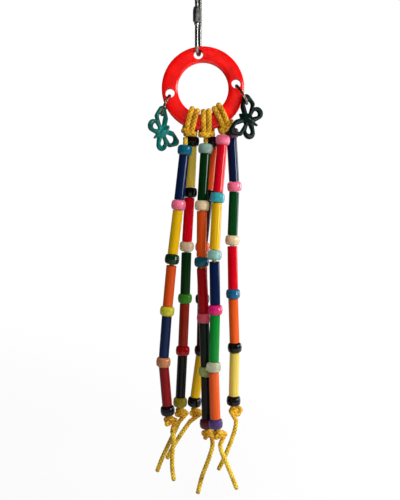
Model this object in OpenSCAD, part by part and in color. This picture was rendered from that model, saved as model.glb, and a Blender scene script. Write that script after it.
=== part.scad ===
// Hanging bird toy: a quick link carries a moulded ring, three ropes are hitched to the
// ring, and their six ends are strung with beads and tubes. Two openwork butterflies hang
// from split rings in the ring's side holes. Millimetres, +Z up, the front faces -Y, and
// the origin is the inside top of the quick link, where a hook carries it.

/* [Quick link] */
// Inside length of the link, top bend to bottom bend
link_inner_l = 46.5; // [40:0.5:60]
// Distance between the middles of the two legs
link_leg_gap = 11.5; // [11:0.1:13]
// Diameter of the link's steel wire
link_wire_d = 2.2; // [1.8:0.1:2.4]
// Turn of the link about the vertical, in degrees
link_turn = -11; // [-14:1:0]
// Opening in the front leg, which the nut closes
link_gap = 4; // [3:0.5:5]
// Distance from the hang point down to the middle of the closed nut
nut_drop = 24; // [22:0.5:26]
// Length of the nut
nut_l = 9.3; // [8.5:0.1:11]
// Width of the nut across its flats
nut_flats = 4.2; // [4:0.1:5]
// Play of the wire inside the nut, all round
nut_play = 0.1; // [0.05:0.05:0.2]
// Diameter of the collar that the nut screws down to
collar_d = 3.1; // [2.8:0.1:3.6]
// Length of the collar
collar_l = 1.6; // [1:0.1:2.5]

/* [Ring] */
// Outer diameter of the ring
ring_d = 53; // [50:0.5:56]
// Diameter of the ring's opening
ring_bore_d = 32.5; // [31:0.5:33.5]
// Thickness of the ring, front to back
ring_t = 5.5; // [5:0.1:6]
// Radius of the ring's rounded edges
ring_edge_r = 1.8; // [1:0.1:2.2]
// Diameter of the three holes through the ring
ring_hole_d = 6; // [5.8:0.1:6.4]
// Distance from the ring's rim in to the middle of each hole
ring_hole_inset = 5.125; // [4.875:0.125:5.25]
// Turn of the ring in its own plane, in degrees
ring_turn = 8; // [0:1:10]
// Drop of the top hole's middle below the middle of the link's bottom wire
ring_seat = 0.25; // [0:0.05:0.4]

/* [Rope] */
// Diameter of the braided rope
rope_d = 3; // [2.6:0.1:3.2]
// Space between the rope and the ring that it is hitched to
wrap_play = 0.12; // [0.1:0.02:0.3]
// Distance between the two wraps of one hitch, middle to middle
wrap_pitch = 3.7; // [3.5:0.1:4]
// Radius of the curl that the end knot makes, to the rope's middle
knot_r = 2.2; // [2:0.1:2.6]
// Climb of the end knot in one full turn
knot_pitch = 3.6; // [3.5:0.1:4.2]

/* [Beads and tubes] */
// Diameter of a bead
bead_d = 9.2; // [8.8:0.1:9.6]
// Height of a bead, between its flat ends
bead_h = 6.5; // [6.2:0.1:7]
// Radius of the round edges of a bead
bead_edge_r = 2.5; // [2:0.1:2.8]
// Diameter of the hole through a bead
bead_bore_d = 4; // [3.8:0.1:4.4]
// Outer diameter of a tube
tube_d = 6.6; // [6.2:0.1:6.8]
// Inner diameter of a tube
tube_bore_d = 5.5; // [5.4:0.1:5.7]
// Length of an average tube
tube_l = 28.2; // [20:0.2:34]
// Space between a bead's flat end and the tube's end
bead_seat = 0.25; // [0.2:0.05:0.4]
// More space above the tube that a strand's lower half swings with
bend_seat = 0.6; // [0.5:0.1:1]

/* [Split rings and butterflies] */
// Diameter of a split ring, to the middle of its wire
split_d = 14; // [13:0.1:15]
// Diameter of the split ring's wire, which is wound twice
split_wire_d = 0.8; // [0.7:0.1:1]
// Drop of the split ring's wire below the middle of its hole
split_seat = 1.1; // [0.9:0.1:1.2]
// Thickness of a butterfly's flat wings
wing_t = 2.8; // [2.4:0.1:3]
// Depth of the slanted border at both faces of the wings and round their openings
wing_edge = 1; // [0.5:0.1:1.2]
// Size that every length in a butterfly's outline follows: half its span over both fore wings
wing_reach = 15; // [14:0.1:16]
// Width of the butterfly's round body
body_w = 4.8; // [4:0.1:5.2]

/* [Hidden] */
$fn = 48;

// Colours of the plastics, the rope and the steel
steel = "#A8AAA8";
nut_grey = "#7C7E7A";
ring_red = "#F01808";
rope_gold = "#D99A14";
left_teal = "#00706A";
right_green = "#062A28";
navy = "#0B2A66";
teal_blue = "#0A5A86";
pink = "#F08098";
yellow = "#D8B010";
dark_green = "#04300F";
orange = "#D8501C";
lime = "#C0C040";
tan_brown = "#C88C60";
dark_red = "#6A0014";
black = "#0A0A0A";
red = "#C80418";
cream = "#D8C8A8";
green = "#0A8030";
brown_red = "#7A1A04";
olive = "#7A7A10";
sage = "#7E9A8E";
teal = "#0A4A5E";
dusky_pink = "#A83440";
light_green = "#7A9A50";
maroon = "#4A0818";
turquoise = "#1E98A8";
light_blue = "#7ABAC0";
hot_pink = "#E81878";
clear_white = "#E0E8DC";
violet = "#5A4890";
purple = "#5A2A50";
blue = "#0A6A9A";
pale_yellow = "#E0D070";
dark_purple = "#1A0418";
dark_brown = "#2A1000";
dark_maroon = "#3A0808";
bottle_green = "#06582C";

// One row for each strand, from the left: its six beads and its five tubes, top to bottom
bead_colours = [
    [teal_blue, pink, dark_green, lime, tan_brown, black],
    [black, black, cream, green, red, olive],
    [sage, cream, teal, dusky_pink, light_green, maroon],
    [dark_purple, black, orange, black, dark_purple, black],
    [pink, turquoise, light_blue, hot_pink, clear_white, violet],
    [purple, pink, cream, blue, black, black]
];
tube_colours = [
    [navy, yellow, orange, navy, dark_red],
    [yellow, red, dark_green, brown_red, black],
    [dark_green, orange, dark_red, dark_green, black],
    [orange, dark_brown, orange, dark_maroon, yellow],
    [red, yellow, navy, green, orange],
    [navy, bottle_green, red, orange, pale_yellow]
];

// Lengths of the hand-cut tubes, as shares of the average tube
tube_l_shares = [
    [1.01, 1.00, 0.96, 0.96, 0.92],
    [0.93, 1.02, 0.99, 1.01, 1.01],
    [1.05, 1.04, 1.05, 1.01, 1.01],
    [0.98, 0.98, 0.99, 0.99, 1.03],
    [1.08, 1.05, 1.00, 1.06, 1.09],
    [0.98, 1.00, 1.02, 1.04, 1.04]
];

// Lean of the rope leg and of each tube below it, in degrees to the right
side_leans = [
    [-2, -6.5, -7, -5.5, -4.5, 4.5],
    [-2, -2.5, -3.5, -2, -2.5, -3],
    [-1, -3.5, -0.5, 2.5, 2, 1],
    [1, -5, -6, 0, -1, -7.5],
    [-1, -5.5, -3, 1, -1.5, 2],
    [1, 3.5, -2, 1, 2, -1]
];
// Lean of the rope leg and of each tube below it, in degrees towards the back
back_leans = [
    [-7, -4, -2, 0, 1, 1.5],
    [1, 1, 1, 1, 0, 0],
    [-8, -5, -2.5, 0, 1, 1.5],
    [1, 1, 1, 0.5, 1, 1],
    [-12, -9, -5.5, -1.5, -2.5, 1],
    [-4, 1, 0, 0, 0, 0]
];
// Places of the top beads and lengths of the rope legs above them, as shares of a bead:
// to the right of the rim where their hitch sits, behind it, below it, and the leg
top_bead_shares = [
    [-0.382, -0.215, 1.526, 1.086], [0.117, 0.518, 0.861, 0.871],
    [-0.05, -0.215, 1.296, 0.871], [0.459, 0.528, 0.758, 0.871],
    [-0.105, -0.215, 1.111, 0.675], [0.531, 0.421, 0.573, 0.871]
];

// Angles of the three hitches from the ring's lowest point, at its bore and at its rim
hitch_bore_angle = [-21.5, 7.5, 36.5];
hitch_rim_angle = [-18, 4.5, 31];

// Number of a strand's last bead, counted from 0 at the top
last_bead = 5;

// Routes of the free rope ends, from the middle of the last bead: hand-chosen points
tail_routes = [
    [[3, 0, -14], [4, 0, -20], [3, 0, -30], [3, 0, -40], [4, 0, -48]],
    [[-1, 0, -14], [-4, 0, -21], [-9, 1, -32], [-13, 1, -41], [-16, 1, -49]],
    [[4, 0, -14], [3, 0, -19], [0, 0, -28], [-3, 0, -36], [-6, 0, -48]],
    [[-3, 1, -14], [-7, 2, -20], [-12, 3, -28], [-16, 3, -35], [-19, 3, -41]],
    [[3, 0, -14], [4, 0, -19], [7, 0, -26], [11, 0, -36], [14, 0, -44]],
    [[2, 0, -14], [1, 0, -20], [-2, 1, -30], [-6, 1, -40], [-10, 2, -49]]
];

// Counts and clearances that follow the rope
rope_sides = 8;
knot_rings = 24;
knot_turns = 1.2;
knot_start_turns = 0.3;
overrun = rope_d;
pivot_gap = rope_d / 15;

// Places that follow the sizes above
link_wire_r = link_wire_d / 2;
bend_r = link_leg_gap / 2;
top_bend_z = link_wire_r - bend_r;
bottom_bend_z = -link_inner_l - link_wire_r + bend_r;
wire_bottom_z = -link_inner_l - link_wire_r;
gap_low_z = -nut_drop - nut_l / 2 + nut_l / 4;
collar_top_z = -nut_drop - nut_l / 2 - nut_play;
hole_ring_r = ring_d / 2 - ring_hole_inset;
band_r = (ring_d + ring_bore_d) / 4;
ring_x = hole_ring_r * sin(ring_turn);
ring_z = wire_bottom_z - ring_seat - hole_ring_r * cos(ring_turn);
ring_centre = [ring_x, 0, ring_z];
rope_r = rope_d / 2;
bead_seat_h = bead_h / 2 + bead_seat;
split_r = split_d / 2;

// Direction of a line that hangs down with the given leans
function hang(side, back) = [cos(back) * sin(side), sin(back), -cos(back) * cos(side)];

// Point of the rim, in the ring's middle plane, where hitch h sits
function rim_point(h) = ring_centre
    + ring_d / 2 * [sin(hitch_rim_angle[h]), 0, -cos(hitch_rim_angle[h])];
// Middle of the top bead of strand n
function top_bead(n) = rim_point(floor(n / 2)) + bead_d *
    [top_bead_shares[n][0], top_bead_shares[n][1], -top_bead_shares[n][2]];
// Length of the rope leg between the hitch and the top bead
function leg_l(n) = bead_d * top_bead_shares[n][3];
// Point where strand n hangs from its hitch
function pivot(n) = top_bead(n) - leg_l(n) * hang(side_leans[n][0], back_leans[n][0]);
// Length of tube k of strand n, and the distance between the beads above and below it
function tube_len(n, k) = tube_l * tube_l_shares[n][k];
function pitch(n, k) = tube_len(n, k) + 2 * bead_seat_h;
// Depth of tube k's upper end below its bead's middle: tube 2 swings about that bead
function tube_top(k) = bead_seat_h + (k == 2 ? bend_seat : 0);
function seg_dir(n, k) = hang(side_leans[n][k + 1], back_leans[n][k + 1]);
// Middle of bead k of strand n, counted from zero at the top
function bead_at(n, k) = k == 0 ? top_bead(n)
    : bead_at(n, k - 1) + pitch(n, k - 1) * seg_dir(n, k - 1);

// Unit vector along v
function unit(v) = v / norm(v);
// Smooth curve through points, with steps stretches between neighbours
function at_end(points, i) = points[max(0, min(len(points) - 1, i))];
function curve_point(a, b, c, d, u) =
    (2 * b + (c - a) * u + (2 * a - 5 * b + 4 * c - d) * u * u
    + (3 * b - a - 3 * c + d) * u * u * u) / 2;
function curve(points, steps) = concat(
    [for (i = [0:len(points) - 2]) for (s = [0:steps - 1])
        curve_point(at_end(points, i - 1), points[i], points[i + 1],
            at_end(points, i + 2), s / steps)],
    [points[len(points) - 1]]);

// Directions along a path, and normals that turn as little as possible along it
function path_dirs(path) = [for (i = [0:len(path) - 1])
    unit(at_end(path, i + 1) - at_end(path, i - 1))];
function square_to(v, along) = unit(v - (v * along) * along);
function first_normal(along) = square_to(abs(along[1]) < 0.8 ? [0, 1, 0] : [1, 0, 0], along);
function path_normals(dirs) = [for (i = 0, v = first_normal(dirs[0]); i < len(dirs);
    i = i + 1, v = i < len(dirs) ? square_to(v, dirs[i]) : v) v];

// Round rope swept along a path
module rope(path, sides) {
    dirs = path_dirs(path);
    normals = path_normals(dirs);
    last = len(path) - 1;
    points = [for (i = [0:last]) for (s = [0:sides - 1])
        path[i] + rope_r * (cos(360 * s / sides) * normals[i]
            + sin(360 * s / sides) * cross(dirs[i], normals[i]))];
    walls = [for (i = [0:last - 1]) for (s = [0:sides - 1])
        let (a = i * sides + s, b = i * sides + (s + 1) % sides)
            each [[a, a + sides, b], [b, a + sides, b + sides]]];
    start_cap = [for (s = [1:sides - 2]) [0, s, s + 1]];
    end_cap = [for (s = [1:sides - 2])
        [last * sides, last * sides + s + 1, last * sides + s]];
    polyhedron(points = points, faces = concat(walls, start_cap, end_cap));
}

// Hangs its children from a point, with -Z along the leaning line
module hung_at(point, side, back) {
    translate(point) rotate([back, -side, 0]) children();
}

// The wire link: two bends, a whole rear leg, and a front leg with its opening
module quick_link() {
    color(steel) rotate([0, 0, link_turn]) {
        translate([0, 0, top_bend_z]) rotate([90, 0, 90]) link_bend();
        translate([0, 0, bottom_bend_z]) rotate([-90, 0, 90]) link_bend();
        translate([0, bend_r, bottom_bend_z])
            cylinder(d = link_wire_d, h = top_bend_z - bottom_bend_z);
        translate([0, -bend_r, bottom_bend_z])
            cylinder(d = link_wire_d, h = gap_low_z - bottom_bend_z);
        translate([0, -bend_r, gap_low_z + link_gap])
            cylinder(d = link_wire_d, h = top_bend_z - gap_low_z - link_gap);
        translate([0, -bend_r, collar_top_z - collar_l])
            cylinder(d = collar_d, h = collar_l);
    }
}

// Half turn of the link's wire
module link_bend() {
    rotate_extrude(angle = 180) translate([bend_r, 0]) circle(d = link_wire_d);
}

// The screw nut that closes the link: six flats, both ends turned round
module link_nut() {
    corner_d = nut_flats / cos(30);
    color(nut_grey) rotate([0, 0, link_turn])
        translate([0, -bend_r, -nut_drop - nut_l / 2])
            difference() {
                intersection() {
                    linear_extrude(nut_l) circle(d = corner_d, $fn = 6);
                    nut_turned_shape(corner_d);
                }
                translate([0, 0, -overrun])
                    cylinder(d = link_wire_d + 2 * nut_play, h = nut_l + 2 * overrun);
            }
}

// Turned outline of the nut: a taper at each end, the upper one longer
module nut_turned_shape(corner_d) {
    waist_r = corner_d * 0.37;
    low_taper = nut_l * 0.07;
    high_taper = nut_l * 0.27;
    rotate_extrude() polygon([
        [0, 0], [waist_r, 0], [corner_d / 2, low_taper],
        [corner_d / 2, nut_l - high_taper], [waist_r, nut_l], [0, nut_l]
    ]);
}

// Middle of a hole in the ring, by its angle from the ring's right
function ring_hole(angle) = ring_centre + hole_ring_r * [cos(angle), 0, sin(angle)];

// The moulded ring with its three drilled holes, top, left and right
module ring() {
    color(ring_red) difference() {
        translate(ring_centre) rotate([90, 0, 0]) rotate_extrude($fn = 96)
            translate([band_r, 0]) ring_profile();
        for (turn = [0, 90, 180])
            translate(ring_hole(turn + ring_turn) - [0, ring_t, 0]) rotate([-90, 0, 0])
                cylinder(d = ring_hole_d, h = 2 * ring_t);
    }
}

// Section of the ring: a rectangle with four round corners
module ring_profile() {
    width = (ring_d - ring_bore_d) / 2;
    square([width - 2 * ring_edge_r, ring_t], center = true);
    square([width, ring_t - 2 * ring_edge_r], center = true);
    for (x = [-1, 1], y = [-1, 1])
        translate([x * (width / 2 - ring_edge_r), y * (ring_t / 2 - ring_edge_r)])
            circle(r = ring_edge_r);
}

// Point beside the ring at hitch h: across it, behind its middle, and out from its middle
wrap_bore_r = ring_bore_d / 2 - rope_r - wrap_play;
wrap_rim_r = ring_d / 2 + rope_r + wrap_play;
wrap_face_y = ring_t / 2 + rope_r + wrap_play;
function by_ring(h, across, back, out) =
    let (share = (out - wrap_bore_r) / (wrap_rim_r - wrap_bore_r),
        angle = hitch_bore_angle[h] + share * (hitch_rim_angle[h] - hitch_bore_angle[h]))
    ring_centre + [sin(angle) * out + cos(angle) * across, back,
        -cos(angle) * out + sin(angle) * across];

// One wrap round the ring's section, from the front of the rim over the bore to the back
function wrap(h, side) = [
    by_ring(h, side * wrap_pitch / 2, -wrap_face_y, ring_d / 2 - rope_d),
    by_ring(h, side * wrap_pitch / 2, -wrap_face_y, band_r - rope_d / 2),
    by_ring(h, side * wrap_pitch / 2, -wrap_face_y * 0.98, ring_bore_d / 2 + rope_d / 4),
    by_ring(h, side * wrap_pitch / 2, -wrap_face_y * 0.72, wrap_bore_r + rope_d / 10),
    by_ring(h, side * wrap_pitch / 2, 0, wrap_bore_r - rope_d / 15),
    by_ring(h, side * wrap_pitch / 2, wrap_face_y * 0.72, wrap_bore_r + rope_d / 10),
    by_ring(h, side * wrap_pitch / 2, wrap_face_y * 0.98, ring_bore_d / 2 + rope_d / 4),
    by_ring(h, side * wrap_pitch / 2, wrap_face_y, band_r - rope_d / 2)
];

// The cross bar in front of the rim, from one wrap to the other
function bar_end(h, side) = [
    by_ring(h, side * wrap_pitch * 0.78, -wrap_face_y * 1.1, ring_d / 2),
    by_ring(h, side * wrap_pitch * 0.72, -wrap_face_y * 1.22, wrap_rim_r + rope_d * 0.08),
    by_ring(h, side * wrap_pitch * 0.3, -wrap_face_y * 1.3, wrap_rim_r + rope_d * 0.26)
];

// Reversed list
function turned(list) = [for (i = [len(list) - 1:-1:0]) list[i]];

// Way of the front strand's rope: down the back, under the rim, and out below the bar
function under_rim(h, n) = [
    by_ring(h, -wrap_pitch / 2, wrap_face_y, ring_d / 2 - rope_d),
    by_ring(h, -wrap_pitch / 2, wrap_face_y * 0.93, ring_d / 2 + rope_d * 0.1),
    by_ring(h, -wrap_pitch / 2, wrap_face_y * 0.5, wrap_rim_r + rope_d * 0.06),
    pivot(n)
];

// Way of the back strand's rope: straight down the ring's back
function down_back(h, n) = [
    by_ring(h, wrap_pitch * 0.47, wrap_face_y, band_r + rope_d / 2),
    pivot(n)
];

// A cow hitch: two wraps over the ring's bore, a cross bar in front, and two legs
module hitch(h) {
    front_n = 2 * h;
    back_n = 2 * h + 1;
    points = concat(
        turned(under_rim(h, front_n)), turned(wrap(h, -1)), bar_end(h, -1),
        turned(bar_end(h, 1)), wrap(h, 1), down_back(h, back_n));
    path = curve(points, 2);
    echo("hitch", h, "least gap to itself", self_gap(path));
    color(rope_gold) rope(path, rope_sides);
}

// Least space between parts of a path that lie well apart along it
function self_gap(path) = min([for (i = [0:len(path) - 1]) for (j = [0:i])
    if (path_length(path, j, i) > 2.2 * rope_d) norm(path[i] - path[j]) - rope_d]);
function path_length(path, j, i) = j >= i ? 0
    : norm(path[j + 1] - path[j]) + path_length(path, j + 1, i);

// One pony bead: a barrel with round edges, two flat ends and a hole
module bead() {
    rotate_extrude() intersection() {
        bead_half_section();
        translate([bead_bore_d / 2, -bead_h]) square([bead_d, 2 * bead_h]);
    }
}

// Section of a bead to the right of its axis
module bead_half_section() {
    core_r = bead_d / 2 - bead_edge_r;
    side_h = bead_h - 2 * bead_edge_r;
    translate([0, -bead_h / 2]) square([core_r, bead_h]);
    translate([0, -side_h / 2]) square([bead_d / 2, side_h]);
    for (end = [-1, 1])
        translate([core_r, end * side_h / 2]) circle(r = bead_edge_r);
}

// Beads first to last of strand n, each square to the tube above it
module beads(n, first, last) {
    for (k = [first:last])
        color(bead_colours[n][k])
            hung_at(bead_at(n, k), side_leans[n][max(1, k)], back_leans[n][max(1, k)]) bead();
}

// One open tube, standing on the XY plane
module tube(length) {
    difference() {
        cylinder(d = tube_d, h = length);
        translate([0, 0, -overrun]) cylinder(d = tube_bore_d, h = length + 2 * overrun);
    }
}

// Tubes first to last of strand n, each hung below its bead
module tubes(n, first, last) {
    for (k = [first:last])
        color(tube_colours[n][k])
            hung_at(bead_at(n, k), side_leans[n][k + 1], back_leans[n][k + 1])
                translate([0, 0, -bead_seat_h - tube_len(n, k)])
                    tube(tube_len(n, k) + bead_seat_h - tube_top(k));
}

module upper_beads(n) {
    beads(n, 0, 2);
}

module upper_tubes(n) {
    tubes(n, 0, 1);
}

module lower_beads(n) {
    beads(n, 3, last_bead);
}

module lower_tubes(n) {
    tubes(n, 2, 4);
}

// Rope of the upper half: from under the hitch through three beads and two tubes
module upper_rope(n) {
    leg_start = rope_r + pivot_gap;
    color(rope_gold) {
        hung_at(pivot(n), side_leans[n][0], back_leans[n][0])
            translate([0, 0, -leg_l(n)]) cylinder(d = rope_d, h = leg_l(n) - leg_start);
        for (k = [0, 1]) {
            translate(bead_at(n, k)) sphere(d = rope_d * 1.02);
            hung_at(bead_at(n, k), side_leans[n][k + 1], back_leans[n][k + 1])
                translate([0, 0, -rope_run(n, k)]) cylinder(d = rope_d, h = rope_run(n, k));
        }
    }
}

// Length of rope below bead k: to the next bead, and through the last one of this half
function rope_run(n, k) = k == 0 ? pitch(n, k) : pitch(n, k) + bead_h * 0.47;

// The curl of the end knot, from the last bead's middle: a turn and a bit of a helix
function knot_point(s) =
    let (opened = min(1, s / knot_start_turns), turn = 360 * s)
    [knot_r * opened * sin(turn), -knot_r * opened * cos(turn),
        -bead_h / 2 - rope_d * 0.2 - opened * rope_r - knot_pitch * s];
function knot_path(n) = [for (i = [0:knot_rings - 1])
    bead_at(n, last_bead) + knot_point(knot_turns * i / (knot_rings - 1))];

// The lower rope: through three tubes and three beads, the knot, and the free end
function lower_path(n) =
    let (start = bead_at(n, 2) + (bead_d / 2 + pivot_gap) * seg_dir(n, 2),
        knot = knot_path(n),
        tail = [for (p = tail_routes[n]) bead_at(n, last_bead) + p],
        free = curve(concat([knot[knot_rings - 1]], tail), 2))
    concat([start], [for (k = [3:last_bead]) bead_at(n, k)], knot,
        [for (i = [1:len(free) - 1]) free[i]]);

module lower_rope(n) {
    path = lower_path(n);
    echo("knot", n, "least gap to itself", self_gap(path));
    color(rope_gold) rope(path, rope_sides);
}

// A split ring hung by its top wire: two turns side by side and the step between them
module split_ring(turn) {
    step_angle = 20;
    offset = split_wire_d * 0.46;
    color(steel) rotate([0, 0, turn]) translate([0, 0, -split_r]) rotate([0, 90, 0]) {
        rotate([0, 0, step_angle / 2]) rotate_extrude(angle = 360 - step_angle, $fn = 96)
            for (side = [-1, 1])
                translate([split_r, side * offset]) circle(d = split_wire_d, $fn = 24);
        split_step(step_angle, offset);
    }
}

// The slanted piece of wire where a split ring changes from one turn to the next
module split_step(step_angle, offset) {
    half_chord = split_r * sin(step_angle / 2);
    length = 2 * norm([half_chord, offset]) + split_wire_d;
    translate([split_r * cos(step_angle / 2), 0, 0])
        rotate([90 + atan2(offset, half_chord), 0, 0])
            cylinder(d = split_wire_d * 0.96, h = length, center = true, $fn = 24);
}

// Outline points of one wing of each kind, as shares of the wing's reach: along the body
// towards the head, away from the body, and the radius of the rounding there
fore_shares = [[0.415, 0.805, 0.185], [0.370, 0.400, 0.155], [0.040, 0, 0.110],
    [0.122, 0.690, 0.175]];
fore_hole_shares = [[0.247, 0.590, 0.150], [0.105, 0.280, 0.050]];
hind_shares = [[-0.300, 0.493, 0.273], [-0.140, 0.000, 0.120]];
hind_hole_shares = [[-0.247, 0.440, 0.115], [-0.150, 0.260, 0.040]];

// Where the straight edge leaves disc a on its way to disc b, on their outer side
function edge_angle(a, b) = atan2(b[1] - a[1], b[0] - a[0])
    + acos((a[2] - b[2]) / norm([b[0] - a[0], b[1] - a[1]]));
function edge_point(a, grown, angle) =
    [a[0] + (a[2] + grown) * cos(angle), a[1] + (a[2] + grown) * sin(angle)];
function edge_out(discs, i) = edge_angle(discs[i], discs[(i + 1) % len(discs)]);

// Outline round a chain of discs, taken clockwise, all of them grown alike, with each
// disc's free arc in steps
arc_steps = 9;
function outline(discs, grown) =
    let (count = len(discs))
    [for (i = [0:count - 1])
        let (from = edge_out(discs, (i + count - 1) % count), to = edge_out(discs, i),
            sweep = (from - to + 2 * 360) % 360)
        for (s = [0:arc_steps]) edge_point(discs[i], grown, from - sweep * s / arc_steps)];

// Upright shape inside outlines that change with height, given as [height, growth] rows
module outline_stack(shares, rows) {
    discs = wing_reach * shares;
    count = len(discs) * (arc_steps + 1);
    last = len(rows) - 1;
    points = [for (row = rows) for (p = outline(discs, row[1])) [p[0], p[1], row[0]]];
    walls = [for (r = [0:last - 1]) for (i = [0:count - 1])
        let (a = r * count + i, b = r * count + (i + 1) % count)
            each [[a, b, a + count], [b, b + count, a + count]]];
    polyhedron(points = points, faces = concat(walls,
        [[for (i = [count - 1:-1:0]) i], [for (i = [0:count - 1]) last * count + i]]));
}

// Heights and growths of a plate's outline, and of an opening that flares at both faces
plate_rows = [[-wing_t / 2, -wing_edge], [-wing_t / 2 + wing_edge, 0],
    [wing_t / 2 - wing_edge, 0], [wing_t / 2, -wing_edge]];
opening_rows = [[-wing_t / 2 - wing_edge, 2 * wing_edge], [-wing_t / 2 + wing_edge, 0],
    [wing_t / 2 - wing_edge, 0], [wing_t / 2 + wing_edge, 2 * wing_edge]];

// The four flat wings in one moulding, with an opening in each
module wings() {
    for (side = [0, 1]) mirror([0, side, 0])
        difference() {
            union() {
                outline_stack(fore_shares, plate_rows);
                outline_stack(hind_shares, plate_rows);
            }
            outline_stack(fore_hole_shares, opening_rows);
            outline_stack(hind_hole_shares, opening_rows);
        }
}

// A butterfly in the XY plane: the head points along +X, the first fore wing along +Y
module butterfly() {
    body_l = wing_reach * 0.83;
    head_x = wing_reach * 0.46;
    spike_l = wing_reach * 0.3;
    bulge_r = (body_l * body_l / 4 + body_w * body_w / 4) / body_w;
    wings();
    translate([head_x - body_l / 2, 0, 0]) rotate([0, 90, 0]) {
        rotate_extrude() intersection() {
            translate([body_w / 2 - bulge_r, 0]) circle(r = bulge_r, $fn = 96);
            translate([0, -body_l]) square([body_w, 2 * body_l]);
        }
        translate([0, 0, -body_l / 2 - spike_l / 2])
            cylinder(d1 = body_w / 4, d2 = body_w / 2, h = spike_l);
    }
}

// A butterfly hung by the opening of its first fore wing from the point of its split ring:
// tilt leans it to the right, turn swings its right side to the back, spin turns it flat
wing_hook = wing_reach * [0.247, 0.590, 0] + wing_reach * 0.05 * [cos(45), sin(45), 0];
module hung_butterfly(point, tilt, turn, spin) {
    translate(point) rotate([0, tilt, 0]) rotate([0, 0, turn]) rotate([90, 0, 0])
        rotate([0, 0, spin]) translate(-wing_hook) butterfly();
}

// Places and leans of the two split rings, and how each butterfly hangs
left_lean = -23.5;
left_back_lean = 0;
left_ring_turn = -2;
right_lean = 31.5;
right_back_lean = -12;
right_ring_turn = 0;
left_tilt = 13;
left_turn = 44;
right_tilt = -18.7;
right_turn = 207;
half_square = 45;
left_split = ring_hole(180 + ring_turn) - [0, 0, split_seat];
right_split = ring_hole(ring_turn) - [0, 0, split_seat];

module left_split_ring() {
    hung_at(left_split, left_lean, left_back_lean) split_ring(left_ring_turn);
}

module right_split_ring() {
    hung_at(right_split, right_lean, right_back_lean) split_ring(right_ring_turn);
}

module left_butterfly() {
    color(left_teal) hung_butterfly(left_split + split_d * hang(left_lean, left_back_lean),
        left_tilt, left_turn, half_square);
}

module right_butterfly() {
    color(right_green) hung_butterfly(right_split + split_d * hang(right_lean, right_back_lean),
        right_tilt, right_turn, half_square);
}

quick_link();
link_nut();
ring();
hitch(0);  // hitch_left
hitch(1);  // hitch_centre
hitch(2);  // hitch_right
left_split_ring();
right_split_ring();
left_butterfly();
right_butterfly();
upper_beads(0);  // strand_1_upper_beads
upper_tubes(0);  // strand_1_upper_tubes
upper_rope(0);  // strand_1_upper_rope
lower_beads(0);  // strand_1_lower_beads
lower_tubes(0);  // strand_1_lower_tubes
lower_rope(0);  // strand_1_lower_rope
upper_beads(1);  // strand_2_upper_beads
upper_tubes(1);  // strand_2_upper_tubes
upper_rope(1);  // strand_2_upper_rope
lower_beads(1);  // strand_2_lower_beads
lower_tubes(1);  // strand_2_lower_tubes
lower_rope(1);  // strand_2_lower_rope
upper_beads(2);  // strand_3_upper_beads
upper_tubes(2);  // strand_3_upper_tubes
upper_rope(2);  // strand_3_upper_rope
lower_beads(2);  // strand_3_lower_beads
lower_tubes(2);  // strand_3_lower_tubes
lower_rope(2);  // strand_3_lower_rope
upper_beads(3);  // strand_4_upper_beads
upper_tubes(3);  // strand_4_upper_tubes
upper_rope(3);  // strand_4_upper_rope
lower_beads(3);  // strand_4_lower_beads
lower_tubes(3);  // strand_4_lower_tubes
lower_rope(3);  // strand_4_lower_rope
upper_beads(4);  // strand_5_upper_beads
upper_tubes(4);  // strand_5_upper_tubes
upper_rope(4);  // strand_5_upper_rope
lower_beads(4);  // strand_5_lower_beads
lower_tubes(4);  // strand_5_lower_tubes
lower_rope(4);  // strand_5_lower_rope
upper_beads(5);  // strand_6_upper_beads
upper_tubes(5);  // strand_6_upper_tubes
upper_rope(5);  // strand_6_upper_rope
lower_beads(5);  // strand_6_lower_beads
lower_tubes(5);  // strand_6_lower_tubes
lower_rope(5);  // strand_6_lower_rope
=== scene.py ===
"""Looks of the hanging bird toy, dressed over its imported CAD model.

The camera and the free rope ends come first, then the knots, ropes and hitches above them. The
rest follows the toy down from its link to its tubes, and the studio comes last. Lengths are
millimetres in the model's own frame (+X right, +Y away from the viewer, +Z up, origin at the
hang point), until a mesh is written in metres.
"""

import bpy
import numpy as np
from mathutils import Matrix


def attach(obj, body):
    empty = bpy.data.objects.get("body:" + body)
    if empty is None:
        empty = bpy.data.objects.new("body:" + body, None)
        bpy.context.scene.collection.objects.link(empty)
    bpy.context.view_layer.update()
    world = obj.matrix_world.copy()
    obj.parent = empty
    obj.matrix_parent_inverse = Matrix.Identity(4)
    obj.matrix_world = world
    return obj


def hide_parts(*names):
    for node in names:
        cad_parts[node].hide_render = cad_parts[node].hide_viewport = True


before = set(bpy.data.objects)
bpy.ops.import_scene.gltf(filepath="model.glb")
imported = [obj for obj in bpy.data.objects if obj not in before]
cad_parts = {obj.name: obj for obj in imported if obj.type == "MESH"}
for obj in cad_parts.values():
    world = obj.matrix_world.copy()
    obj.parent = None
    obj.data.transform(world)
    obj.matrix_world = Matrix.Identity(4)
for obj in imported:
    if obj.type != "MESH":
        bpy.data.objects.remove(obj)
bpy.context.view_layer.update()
MM = 0.001

# Camera: in front of the toy, level with its upper strands and tipped five degrees down,
# as the photograph was taken, so that the ring is seen square on and the beads a little
# from above.
camera_place = np.array([1.05, -450.0, -133.5])
camera_dip = np.radians(5.0)
focal_share = 690 / 500  # focal length over the image's long side

camera = bpy.data.objects.new("camera", bpy.data.cameras.new("camera"))
camera.data.sensor_width = 36.0
camera.data.lens = 36.0 * focal_share
camera.data.clip_start = 0.01
camera.location = camera_place * MM
camera.rotation_euler = (np.pi / 2 - camera_dip, 0, 0)
bpy.context.scene.collection.objects.link(camera)
bpy.context.scene.camera = camera

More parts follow.
